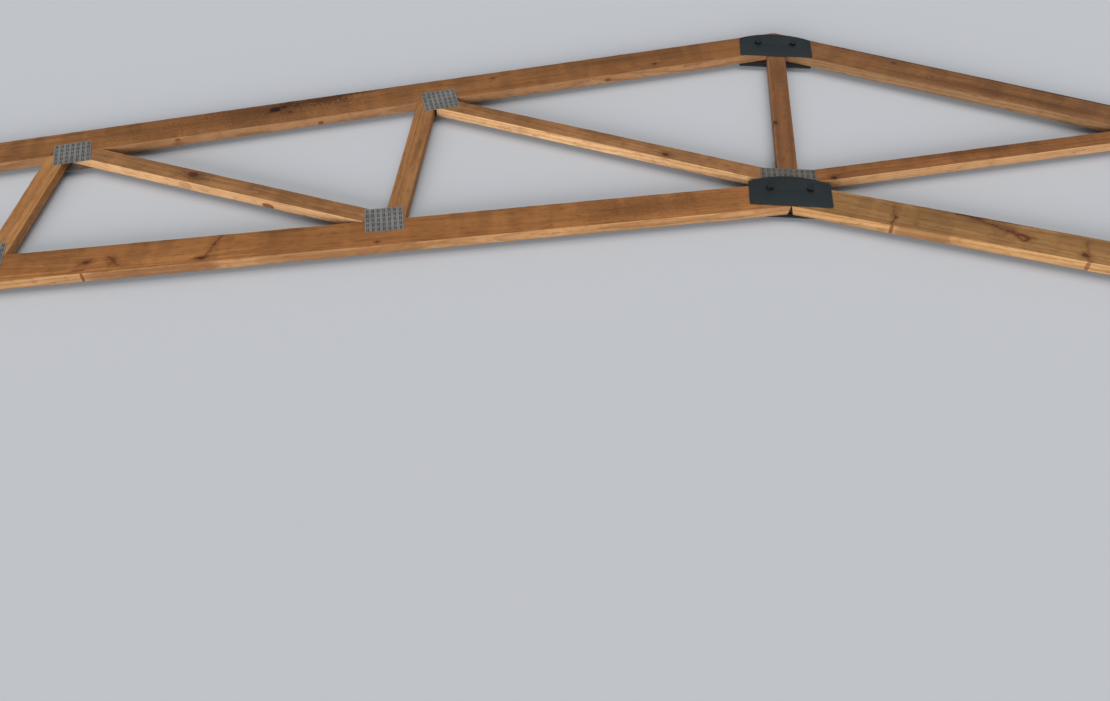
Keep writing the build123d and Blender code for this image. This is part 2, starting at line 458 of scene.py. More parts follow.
def slot_cell(width, height, place, shift):
    """A patch of sheet with one punched slot, shifted sideways from the patch's middle."""
    slot_length = height * slot_share
    cell = added(bpy.ops.mesh.primitive_plane_add, size=1)
    cell.scale = (width, height, 1)
    settle(cell)
    edit(cell, "FACE", everything)
    bpy.ops.mesh.inset(thickness=min(width, height) * first_inset)
    leave_edit()

    def inner(face):
        return is_at(face.center.x, 0) and is_at(face.center.y, 0)

    middle_face = next(face for face in cell.data.polygons if inner(face))
    span = [cell.data.vertices[i].co for i in middle_face.vertices]
    wide, tall = (max(corner[axis] for corner in span) * 2 for axis in (0, 1))
    edit(cell, "FACE", inner)
    bpy.ops.transform.resize(value=(slot_width / wide, slot_length / tall, 1))
    bpy.ops.transform.translate(value=(shift, 0, 0))
    bpy.ops.mesh.extrude_region_move(TRANSFORM_OT_translate={"value": (0, 0, -slot_floor)})
    bpy.ops.transform.resize(value=floor_shares)
    leave_edit()

    def short_rim(edge):
        a, b = ends_of(cell, edge)
        level = is_at(a.z, 0) and is_at(b.z, 0)
        return level and is_at(a.y, slot_length / 2) and is_at(a.y - b.y, 0)

    edit(cell, "EDGE", short_rim)
    bpy.ops.mesh.bevel(offset=tooth_bend, segments=2, affect="EDGES")
    leave_edit()
    cell.location.x = place
    return settle(cell)


# %% Press a nail plate
def face_outwards():
    """Turns all faces of the edited mesh outwards and leaves edit mode."""
    bpy.ops.mesh.select_all(action="SELECT")
    bpy.ops.mesh.normals_make_consistent(inside=False)
    leave_edit()


def punched_plate(length, height, columns, rows):
    """A front nail plate lying at the origin, its back on Z = 0."""
    cell_x, cell_y = length / columns, height / rows
    shift = cell_x / 4 - (slot_width + slot_rib) / 2
    halves = [slot_cell(cell_x / 2, cell_y, side * cell_x / 4, -side * shift) for side in (-1, 1)]
    plate = joined(halves, "plate_blank")
    edit(plate, "VERT", everything)
    bpy.ops.mesh.remove_doubles(threshold=touching)
    leave_edit()
    for count, step in ((columns, (cell_x, 0, 0)), (rows, (0, cell_y, 0))):
        array = plate.modifiers.new("array", "ARRAY")
        array.count = count
        array.use_relative_offset = False
        array.use_constant_offset = True
        array.constant_offset_displace = step
        array.use_merge_vertices = True
        array.merge_threshold = hair
    apply_all(plate)
    plate.location = (-(columns - 1) * cell_x / 2, -(rows - 1) * cell_y / 2, sheet)
    settle(plate)

    def rim(edge):
        a, b = ends_of(plate, edge)
        on_x = is_at(a.x, length / 2) and is_at(b.x, length / 2)
        on_y = is_at(a.y, height / 2) and is_at(b.y, height / 2)
        return on_x or on_y

    edit(plate, "EDGE", rim)
    bpy.ops.mesh.extrude_region_move(TRANSFORM_OT_translate={"value": (0, 0, -sheet)})
    bpy.ops.mesh.edge_face_add()
    bpy.ops.mesh.select_all(action="SELECT")
    bpy.ops.mesh.remove_doubles(threshold=touching)
    face_outwards()
    return plate


# Each kind has its length and height, and its columns and rows of slot pairs.
plate_kinds = {
    "web": (0.140, 0.127, 7, 5),
    "butt": (0.305, 0.127, 15, 5),
    "heel": (0.508, 0.152, 25, 6),
    "ridge": (0.210, 0.140, 10, 6),
    "peak": (0.210, 0.205, 10, 8),
}
plate_blanks = {kind: punched_plate(*sizes) for kind, sizes in plate_kinds.items()}
for kind, blank in plate_blanks.items():
    print(kind, "plate:", len(blank.data.polygons), "faces")

# %% [markdown]
# ## Pressing the plates on
# Every joint has one plate on the front and one on the back. A copy of the blank is turned to the
# chord's slope and moved to its joint, and another is turned over for the back. The plates at the
# two splices are drilled for their bolts, as the chords were.

# %% Place the nail plates
top_plate_inwards, bottom_plate_outwards = 0.052, 0.037
ridge_plate_drop, peak_plate_drop = 0.112, 0.055
top_turn, bottom_turn = math.atan(top_slope), math.atan(bottom_slope)

plate_places = {}
for hand, side in hands.items():
    for place, x in panel_points.items():
        top_x, bottom_x = x - top_plate_inwards, x + bottom_plate_outwards
        plate_places["top_" + place + "_" + hand] = ("web", side * top_x, top_under(top_x), -side * top_turn)
        plate_places["bottom_" + place + "_" + hand] = (
            "web", side * bottom_x, bottom_over(bottom_x), -side * bottom_turn
        )
    plate_places["top_butt_" + hand] = ("butt", side * top_butt, top_middle(top_butt), -side * top_turn)
    plate_places["bottom_butt_" + hand] = (
        "butt", side * bottom_butt, bottom_middle(bottom_butt), -side * bottom_turn
    )
    low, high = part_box("nail_plates_heel_" + hand)
    heel_turn = -side * (top_turn + bottom_turn) / 2
    plate_places["heel_" + hand] = ("heel", (low.x + high.x) / 2, (low.y + high.y) / 2, heel_turn)
for joint, foot in (("ridge", upper_crossing - ridge_plate_drop), ("peak", lower_crossing - peak_plate_drop)):
    plate_places[joint] = (joint, 0, foot + plate_kinds[joint][1] / 2, 0)

print(len(plate_places), "joints to plate")


# %% Press the plates on
def own_copy(piece, name):
    """A copy of a piece with its own mesh."""
    double = piece.copy()
    double.data = piece.data.copy()
    double.name = double.data.name = name
    bpy.context.scene.collection.objects.link(double)
    return double


plates = {}
for place, (kind, x, y, turn) in plate_places.items():
    front = own_copy(plate_blanks[kind], "front")
    front.location = (x, y, wood_front)
    front.rotation_euler = (0, 0, turn)
    back = own_copy(plate_blanks[kind], "back")
    back.location = (x, y, wood_back)
    back.rotation_euler = (math.pi, 0, turn)
    pair = joined([settle(front), settle(back)], "punched_plates_" + place)
    if kind in bolts_y:
        drill(pair, kind)
    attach(pair, "root")
    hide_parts("nail_plates_" + place)
    plates[place] = pair
for blank in plate_blanks.values():
    bpy.data.objects.remove(blank)
print(len(plates), "pairs of nail plates")

# %% [markdown]
# ## The splice plates
# The two halves of the truss are joined at the ridge and at the lower peak by dark steel plates with
# a level foot, plumb ends and an arched top. The arch is part of a circle, so the plate starts as a
# filled circle of that radius. Three bisects leave the plate's outline, its corners are rounded, it
# is extruded to its thickness, and its edges are eased. The back plates sit a little lower.

# %% Cut the splice plates
splice_length, splice_end, splice_crown = 0.305, 0.130, 0.168
splice_thickness = 0.004
splice_corner = 0.005
splice_ease = 0.0006
arch_rise = splice_crown - splice_end
splice_radius = ((splice_length / 2) ** 2 + arch_rise ** 2) / 2 / arch_rise


def splice_blank():
    """A splice plate with the middle of its foot at the origin and its back on Z = 0."""
    centre = (0, splice_crown - splice_radius, 0)
    circle = {"vertices": 180, "radius": splice_radius, "fill_type": "NGON"}
    plate = settle(added(bpy.ops.mesh.primitive_circle_add, location=centre, **circle))
    end = splice_length / 2
    for x, outwards in ((0, (0, -1, 0)), (end, (1, 0, 0)), (-end, (-1, 0, 0))):
        edit(plate, "FACE", everything)
        bpy.ops.mesh.bisect(plane_co=(x, 0, 0), plane_no=outwards, clear_outer=True)
        leave_edit()
    edit(plate, "VERT", lambda corner: is_at(corner.co.x, end))
    bpy.ops.mesh.bevel(offset=splice_corner, segments=4, affect="VERTICES")
    leave_edit()
    edit(plate, "FACE", everything)
    bpy.ops.mesh.extrude_region_move(TRANSFORM_OT_translate={"value": (0, 0, splice_thickness)})
    face_outwards()
    return plate


print("the arch rises", round(arch_rise * 1000), "mm over its ends")

# %% Place the splice plates
splice_drops = {"front": 0.0, "back": 0.015}
splice_backs = {"front": wood_front + sheet, "back": wood_back - sheet - splice_thickness}
blank = splice_blank()
splices = []
for joint, foot in splice_feet.items():
    for face in ("front", "back"):
        plate = own_copy(blank, "slate_splice_" + joint + "_" + face)
        plate.location = (0, foot - splice_drops[face], splice_backs[face])
        settle(plate)
        drill(plate, joint)
        ease = plate.modifiers.new("ease", "BEVEL")
        ease.width = splice_ease
        ease.segments = 2
        ease.limit_method = "ANGLE"
        ease.angle_limit = math.radians(50)
        apply_all(plate)
        smooth(plate, 35)
        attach(plate, "root")
        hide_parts("splice_plate_" + joint + "_" + face)
        splices.append(plate)
bpy.data.objects.remove(blank)
print(len(splices), "splice plates, their arch on a radius of", round(splice_radius, 3), "m")

# %% [markdown]
# ## Bolts and nuts
# The splice bolts are M16: a hexagon head with its corners turned off, a plain shank, and a thread
# where the nut is. The head starts as a six-sided cylinder, and a Boolean with a turned blank, whose
# rim is chamfered, takes the corners off as a lathe does. The thread is a triangle that a Screw
# modifier winds round a core.

# %% Turn a hexagon
across_flats, head_height, nut_height = 0.024, 0.010, 0.013
corner_chamfer = 0.0016
shank_radius = 0.008
tap_radius = 0.00835
thread_pitch, threaded_length = 0.002, 0.022
profile_radius, profile_inset = 0.00105, 0.00108
core_radius, core_taper = 0.0069, 0.0012
thread_start, thread_runout = 0.0014, 0.0022


def turned_hexagon(height, both_ends):
    """A hexagon from Z = 0 up, its corners turned off at the far end or at both."""
    corner_radius = across_flats / math.sqrt(3)
    hexagon = cylinder(6, corner_radius, 0, height)
    turned = cylinder(48, corner_radius, 0, height)

    def turned_rim(edge):
        a, b = ends_of(turned, edge)
        at_top = is_at(a.z, height) and is_at(b.z, height)
        return at_top or (both_ends and is_at(a.z, 0) and is_at(b.z, 0))

    edit(turned, "EDGE", turned_rim)
    bpy.ops.mesh.bevel(offset=corner_chamfer, segments=1, affect="EDGES")
    leave_edit()
    carve(hexagon, turned, "INTERSECT")
    return hexagon


def thread(length, start):
    """A thread wound upwards from Z = start."""
    profile = added(bpy.ops.mesh.primitive_circle_add, vertices=3, radius=profile_radius)
    profile.rotation_euler = (math.pi / 2, math.pi / 2, 0)
    profile.location = (shank_radius - profile_inset, 0, start)
    settle(profile)
    winding = profile.modifiers.new("winding", "SCREW")
    winding.steps = winding.render_steps = 24
    winding.screw_offset = thread_pitch
    winding.iterations = round(length / thread_pitch)
    winding.use_merge_vertices = False
    apply_all(profile)
    edit(profile, "VERT", everything)
    bpy.ops.mesh.fill_holes(sides=3)
    face_outwards()
    return profile


# %% [markdown]
# The bolt's head stands on the front splice plate, and its tip comes out of the nut at the back by
# five millimetres. The truss rests on those tips, so they stop exactly at the floor.

# %% Make a bolt and a nut
bolt_seat = wood_front + sheet + splice_thickness
nut_seat = wood_back - sheet - splice_thickness
plain_from = nut_seat - nut_height + threaded_length
head = turned_hexagon(head_height, False)
head.location = (0, 0, bolt_seat)
settle(head)
core = cylinder(32, core_radius, 0, bolt_seat)
edit(core, "FACE", lambda face: face.normal.z < -0.9)
bpy.ops.mesh.inset(thickness=core_taper)
leave_edit()
edit(core, "VERT", lambda corner: is_at(corner.co.z, 0) and is_at(corner.co.xy.length, core_radius))
bpy.ops.transform.translate(value=(0, 0, core_taper))
leave_edit()
shank = cylinder(32, shank_radius, plain_from, bolt_seat)
winding = thread(plain_from - thread_start - thread_runout, thread_start)
bolt_blank = joined([head, core, shank, winding], "bolt_blank")
nut_blank = turned_hexagon(nut_height, True)
carve(nut_blank, cylinder(32, tap_radius, -nut_height, 2 * nut_height), "DIFFERENCE")
nut_blank.location = (0, 0, nut_seat - nut_height)
settle(nut_blank)
print("bolt:", len(bolt_blank.data.polygons), "faces; nut:", len(nut_blank.data.polygons), "faces")

# %% Put the bolts and nuts in their holes
fixings = []
hex_turns = {-1: math.radians(11), 1: math.radians(-17)}
for joint, y in bolts_y.items():
    for kind, blank in (("bolts", bolt_blank), ("nuts", nut_blank)):
        both = []
        for side, turn in hex_turns.items():
            one = own_copy(blank, kind)
            one.location = (side * bolt_spacing / 2, y, 0)
            one.rotation_euler = (0, 0, turn)
            both.append(settle(one))
        pair = joined(both, "hex_" + kind + "_" + joint)
        smooth(pair, 28)
        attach(pair, "root")
        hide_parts(kind + "_" + joint)
        fixings.append(pair)
for blank in (bolt_blank, nut_blank):
    bpy.data.objects.remove(blank)
print(len(fixings), "pairs of bolts or nuts")

# %% [markdown]
# ## Writing materials as a short list of steps
# A procedural material is a chain of nodes. These helpers add one node each and wire it to what
# comes before, so that the finishes below read like a recipe. Plain numbers are set on the sockets.


# %% Material helpers
def new_finish(name, roughness, metallic, specular):
    """A material with a Principled BSDF, its constant values set on its own sockets."""
    finish = bpy.data.materials.new(name)
    finish.use_nodes = True
    shader = finish.node_tree.nodes["Principled BSDF"]
    shader.inputs["Roughness"].default_value = roughness
    shader.inputs["Metallic"].default_value = metallic
    shader.inputs["Specular IOR Level"].default_value = specular
    return finish, finish.node_tree, shader


def dress(piece, *finishes):
    """Gives the piece its materials, in place of any that it had."""
    piece.data.materials.clear()
    for finish in finishes:
        piece.data.materials.append(finish)


def feed(tree, socket, value):
    """Wires an output to a socket, or writes a number on it."""
    if isinstance(value, bpy.types.NodeSocket):
        tree.links.new(value, socket)
    else:
        socket.default_value = value


def place_on(tree):
    """The place on the piece, in the piece's own coordinates."""
    return tree.nodes.new("ShaderNodeTexCoord").outputs["Object"]


def calc(tree, operation, *values, clamp=False):
    """One Math node."""
    node = tree.nodes.new("ShaderNodeMath")
    node.operation = operation
    node.use_clamp = clamp
    for socket, value in zip(node.inputs, values):
        feed(tree, socket, value)
    return node.outputs[0]


def swing(tree, grey, amount):
    """A grey as a swing to either side of nothing."""
    return calc(tree, "MULTIPLY", calc(tree, "SUBTRACT", grey, 0.5), amount)


def nudged(tree, value, grey, amount):
    """A value that is moved to and fro by a grey."""
    return calc(tree, "ADD", value, swing(tree, grey, amount))


def noise(tree, vector, scale, detail, roughness=0.55):
    """A Noise texture's grey output."""
    node = tree.nodes.new("ShaderNodeTexNoise")
    feed(tree, node.inputs["Vector"], vector)
    node.inputs["Scale"].default_value = scale
    node.inputs["Detail"].default_value = detail
    node.inputs["Roughness"].default_value = roughness
    return node.outputs["Fac"]


def cells(tree, vector, scale, randomness=1.0, dimensions="3D"):
    """A Voronoi texture: the distance from the middle of a cell, and a grey for each cell."""
    node = tree.nodes.new("ShaderNodeTexVoronoi")
    node.voronoi_dimensions = dimensions
    feed(tree, node.inputs["Vector"], vector)
    node.inputs["Scale"].default_value = scale
    node.inputs["Randomness"].default_value = randomness
    split = tree.nodes.new("ShaderNodeSeparateColor")
    tree.links.new(node.outputs["Color"], split.inputs[0])
    return node.outputs["Distance"], split.outputs[0]


def stretched(tree, vector, scale, place=(0, 0, 0), turn=(0, 0, 0)):
    """The vector through a Mapping node."""
    node = tree.nodes.new("ShaderNodeMapping")
    feed(tree, node.inputs["Vector"], vector)
    node.inputs["Location"].default_value = place
    node.inputs["Rotation"].default_value = turn
    node.inputs["Scale"].default_value = scale
    return node.outputs[0]


def ramp(tree, value, low, high, to_low=0.0, to_high=1.0, smooth_step=True):
    """A value between two limits, laid on another range."""
    node = tree.nodes.new("ShaderNodeMapRange")
    node.interpolation_type = "SMOOTHSTEP" if smooth_step else "LINEAR"
    limits = {"Value": value, "From Min": low, "From Max": high, "To Min": to_low, "To Max": to_high}
    for name, number in limits.items():
        feed(tree, node.inputs[name], number)
    return node.outputs["Result"]


def blend(tree, factor, first, second):
    """Two colours mixed by a factor."""
    node = tree.nodes.new("ShaderNodeMix")
    node.data_type = "RGBA"
    feed(tree, node.inputs["Factor"], factor)
    feed(tree, node.inputs[6], first)
    feed(tree, node.inputs[7], second)
    return node.outputs[2]


def paint(red, green, blue):
    """A colour as the eye names it, from 0 to 255, as the linear values that a shader wants."""
    def linear(value):
        value = value / 255
        return value / 12.92 if value <= 0.04045 else ((value + 0.055) / 1.055) ** 2.4

    return (linear(red), linear(green), linear(blue), 1.0)


def shade(tone, *shares):
    """A tone lightened or darkened by a share for its red, its green and its blue."""
    return paint(*(min(255, part * share) for part, share in zip(tone, shares)))


def relief(tree, shader, height, depth):
    """Fine relief from a grey height, in metres."""
    node = tree.nodes.new("ShaderNodeBump")
    node.inputs["Distance"].default_value = depth
    feed(tree, node.inputs["Height"], height)
    tree.links.new(node.outputs["Normal"], shader.inputs["Normal"])


# %% [markdown]
# ## Sawn pine
# A board is a slice through a tree, so its figure is three-dimensional: growth rings lie round a
# pith that runs almost along the board. The pattern is therefore worked out in the board's own
# directions, and one recipe gives long cathedral figures on the wide faces, straight lines on the
# edges and arcs on the sawn ends. Knots are branches that pass through the thickness, and the rings
# flow round them. The wood has darkened to orange brown, and the narrow edges are painted paler:
# partly the planed wood's own tone, partly painted light, as if lit from below.

# %% The pine recipe
stain_brown = paint(70, 41, 21)
crack_halo, crack_brown = paint(104, 58, 28), paint(78, 39, 20)
edge_mark_brown = paint(104, 62, 34)
knot_red, knot_brown, knot_black = paint(84, 40, 20), paint(40, 19, 11), paint(34, 13, 6)
# Where the paler edge tone, partly painted light, starts and where it is full, measured from the edge.
planed_and_lit_edge_from, planed_and_lit_edge_full = 0.0026, 0.0016
smallest_knot, largest_knot = 0.00001, 0.052
knot_stretch = 1.35
pine_relief = 0.0006


def local_axes(tree, middle, turn):
    """The board's own coordinates: along, across and through, from its middle."""
    spun = Matrix.Rotation(-turn, 3, "Z") @ middle
    vector = stretched(tree, place_on(tree), (1, 1, 1), tuple(-spun), (0, 0, -turn))
    split = tree.nodes.new("ShaderNodeSeparateXYZ")
    tree.links.new(vector, split.inputs[0])
    return vector, split.outputs[0], split.outputs[1], split.outputs[2]


def vector_of(tree, x, y, z):
    """Three values as one vector."""
    node = tree.nodes.new("ShaderNodeCombineXYZ")
    for socket, value in zip(node.inputs, (x, y, z)):
        feed(tree, socket, value)
    return node.outputs[0]


def squares(tree, x, y):
    """The sum of two squares."""
    return calc(tree, "ADD", calc(tree, "MULTIPLY", x, x), calc(tree, "MULTIPLY", y, y))


def spot(tree, x, y, centre_x, centre_y, radius_x, radius_y):
    """Distance from a place as a share of an oval's radii: 0 in its middle and 1 at its rim."""
    off_x = calc(tree, "DIVIDE", calc(tree, "SUBTRACT", x, centre_x), radius_x)
    off_y = calc(tree, "DIVIDE", calc(tree, "SUBTRACT", y, centre_y), radius_y)
    return calc(tree, "SQRT", squares(tree, off_x, off_y))


def stroke(tree, x, y, start, end, half_width):
    """Distance from a straight stroke between two places as a share of its half width."""
    run_x, run_y = end[0] - start[0], end[1] - start[1]
    from_x, from_y = calc(tree, "SUBTRACT", x, start[0]), calc(tree, "SUBTRACT", y, start[1])
    share = calc(tree, "ADD", calc(tree, "MULTIPLY", from_x, run_x), calc(tree, "MULTIPLY", from_y, run_y))
    share = calc(tree, "DIVIDE", share, run_x * run_x + run_y * run_y, clamp=True)
    off_x = calc(tree, "SUBTRACT", from_x, calc(tree, "MULTIPLY", share, run_x))
    off_y = calc(tree, "SUBTRACT", from_y, calc(tree, "MULTIPLY", share, run_y))
    return calc(tree, "DIVIDE", calc(tree, "SQRT", squares(tree, off_x, off_y)), half_width)


def chance_knots(tree, along, across, through, edge, ragged, seed):
    """Knots strewn by chance: how dark a place is as a knot, and how near it is to one."""
    side_step = calc(tree, "ADD", calc(tree, "SUBTRACT", through, across), 3.0)
    unfolded = calc(tree, "ADD", across, calc(tree, "MULTIPLY", edge, side_step))
    flat = stretched(tree, vector_of(tree, along, unfolded, 0.0), (2.0, 5.2, 1), (seed * 3.7, seed * 1.3, 0))
    distance, grey = cells(tree, flat, 1.0, 0.85, "2D")
    size = ramp(tree, grey, 0.5, 1.0, 0.0, largest_knot, False)
    oval = calc(tree, "DIVIDE", distance, calc(tree, "MAXIMUM", size, smallest_knot))
    oval = calc(tree, "ADD", oval, ragged)
    return ramp(tree, oval, 1.0, 0.72), ramp(tree, oval, 2.8, 0.9)


def growth_rings(tree, along, across, through, seed):
    """Rings round a pith beside the board, dark where the latewood is."""
    rings = tree.nodes.new("ShaderNodeTexWave")
    rings.wave_type = "RINGS"
    rings.rings_direction = "X"
    rings.wave_profile = "SAW"
    rings.inputs["Scale"].default_value = 34.0 + 5 * math.sin(seed * 2.3)
    rings.inputs["Distortion"].default_value = 0.8
    rings.inputs["Detail"].default_value = 2.0
    rings.inputs["Detail Scale"].default_value = 2.0
    pith = (0, 0.035 * math.sin(seed * 1.7), 0.028 + 0.02 * math.cos(seed * 2.9))
    lean = (0, 0.012 * math.sin(seed), 0.010)
    place = stretched(tree, vector_of(tree, along, across, through), (1, 1, 1), pith, lean)
    tree.links.new(place, rings.inputs["Vector"])
    return ramp(tree, rings.outputs["Fac"], 0.35, 0.98)


def pine(name, middle, turn, width, seed, tone, planed_and_lit_edge_tone, marks):
    """Sawn pine along one board, in a tone for its faces and a paler one for its edges, partly painted light,
    with its marks.

    Knots are (along, across, radius, darkness), and a darkness above 1 gives a black heart. Stains are
    (along, across, length, height, strength). Cracks are (start, end, half width, strength), each end
    being along and across. Edge marks are (along, through, length, height, strength). A board without
    marks gets its knots by chance.
    """
    finish, tree, shader = new_finish("pine_" + name, 0.7, 0.0, 0.16)
    vector, along, across, through = local_axes(tree, middle, turn)
    seeded = stretched(tree, vector, (1, 1, 1), (seed * 3.7, seed * 1.3, seed * 2.1))

    def streaky(scale, detail, roughness=0.55, place=(0, 0, 0)):
        """Noise that is drawn out along the board."""
        return noise(tree, stretched(tree, seeded, scale, place), 1.0, detail, roughness)

    far_across = calc(tree, "ABSOLUTE", across)
    # The band along both narrow edges that takes the paler edge tone, partly painted light from below.
    edge = ramp(tree, far_across, width / 2 - planed_and_lit_edge_from, width / 2 - planed_and_lit_edge_full)
    ragged = swing(tree, streaky((14, 55, 55), 3.0, 0.6), 0.5)
    scars = hearts = 0.0
    if not marks:
        scars, hearts = chance_knots(tree, along, across, through, edge, ragged, seed)
    pushed = across
    for knot_along, knot_across, radius, darkness in marks.get("knots", ()):
        from_knot = spot(tree, along, across, knot_along, knot_across, radius * knot_stretch, radius)
        from_knot = calc(tree, "ADD", from_knot, ragged)
        scars = calc(tree, "MAXIMUM", scars, ramp(tree, from_knot, 1.05, 0.7, 0.0, darkness))
        near = ramp(tree, from_knot, 3.0, 0.8)
        hearts = calc(tree, "MAXIMUM", hearts, near)
        away = calc(tree, "MULTIPLY", calc(tree, "SUBTRACT", across, knot_across), -0.6)
        pushed = calc(tree, "ADD", pushed, calc(tree, "MULTIPLY", near, away))

    sway = streaky((1.3, 4, 4), 2.0)
    tremble = streaky((7, 24, 24), 3.0)
    bent = nudged(tree, nudged(tree, pushed, sway, 0.055), tremble, 0.004)
    bent = calc(tree, "ADD", bent, calc(tree, "MULTIPLY", hearts, 0.012))
    latewood = growth_rings(tree, along, bent, nudged(tree, through, sway, 0.03), seed)
    fibres = streaky((9, 420, 420), 3.0, 0.6)
    streaks = streaky((1.1, 60, 60), 3.0, 0.6)
    clouds = streaky((1.6, 9, 9), 4.0, 0.6)
    mottle = streaky((26, 70, 70), 4.0, 0.65)
    grime = streaky((3.2, 12, 12), 5.0, 0.62)

    def wood(tone):
        """The figure of the wood in one tone."""
        dark, speck = shade(tone, 0.80, 0.75, 0.68), shade(tone, 0.72, 0.66, 0.58)
        figure = blend(tree, ramp(tree, clouds, 0.34, 0.66), paint(*tone), shade(tone, 1.10, 1.13, 1.16))
        figure = blend(tree, calc(tree, "MULTIPLY", latewood, 0.5), figure, dark)
        figure = blend(tree, ramp(tree, streaks, 0.48, 0.74, 0.0, 0.6), figure, dark)
        figure = blend(tree, ramp(tree, mottle, 0.48, 0.76, 0.0, 0.6), figure, speck)
        return blend(tree, ramp(tree, fibres, 0.50, 0.80, 0.0, 0.35), figure, speck)

    deep = shade(tone, 0.60, 0.52, 0.44)
    face = blend(tree, ramp(tree, grime, 0.57, 0.78, 0.0, 0.6), wood(tone), deep)
    if "stains" in marks:
        grain = streaky((85, 150, 150), 3.0, 0.7)
    for *oval, strength in marks.get("stains", ()):
        from_stain = nudged(tree, spot(tree, along, across, *oval), grain, 2.6)
        from_stain = nudged(tree, nudged(tree, from_stain, grime, 1.6), mottle, 1.2)
        face = blend(tree, ramp(tree, from_stain, 1.1, 0.3, 0.0, strength), face, stain_brown)
    if "cracks" in marks:
        crooked = nudged(tree, along, streaky((38, 38, 38), 2.0, place=(7, 0, 0)), 0.030)
        wavy = nudged(tree, across, streaky((55, 38, 38), 2.0, place=(0, 9, 0)), 0.020)
    for start, end, half_width, strength in marks.get("cracks", ()):
        from_crack = nudged(tree, stroke(tree, crooked, wavy, start, end, half_width), mottle, 2.4)
        face = blend(tree, ramp(tree, from_crack, 4.0, 0.6, 0.0, strength * 0.55), face, crack_halo)
        face = blend(tree, ramp(tree, from_crack, 1.2, 0.2, 0.0, strength), face, crack_brown)
    # The narrow edges: the planed wood's paler tone, partly painted light from below, with grime.
    side = blend(tree, ramp(tree, grime, 0.56, 0.76, 0.0, 0.55), wood(planed_and_lit_edge_tone), paint(*tone))
    for *oval, strength in marks.get("edge_marks", ()):
        from_mark = nudged(tree, spot(tree, along, through, *oval), mottle, 0.5)
        side = blend(tree, ramp(tree, from_mark, 1.05, 0.85, 0.0, strength), side, edge_mark_brown)
    colour = blend(tree, edge, face, side)
    colour = blend(tree, calc(tree, "MULTIPLY", hearts, 0.38), colour, deep)
    knot_colour = blend(tree, ramp(tree, fibres, 0.35, 0.65), knot_red, knot_brown)
    colour = blend(tree, calc(tree, "MULTIPLY", scars, 0.92), colour, knot_colour)
    colour = blend(tree, ramp(tree, scars, 1.0, 1.3), colour, knot_black)
    tree.links.new(colour, shader.inputs["Base Color"])
    tree.links.new(ramp(tree, latewood, 0.0, 1.0, 0.78, 0.62, False), shader.inputs["Roughness"])
    height = calc(tree, "ADD", calc(tree, "MULTIPLY", latewood, 0.5), calc(tree, "MULTIPLY", fibres, 0.5))
    relief(tree, shader, calc(tree, "ADD", height, calc(tree, "MULTIPLY", scars, 0.6)), pine_relief)
    return finish
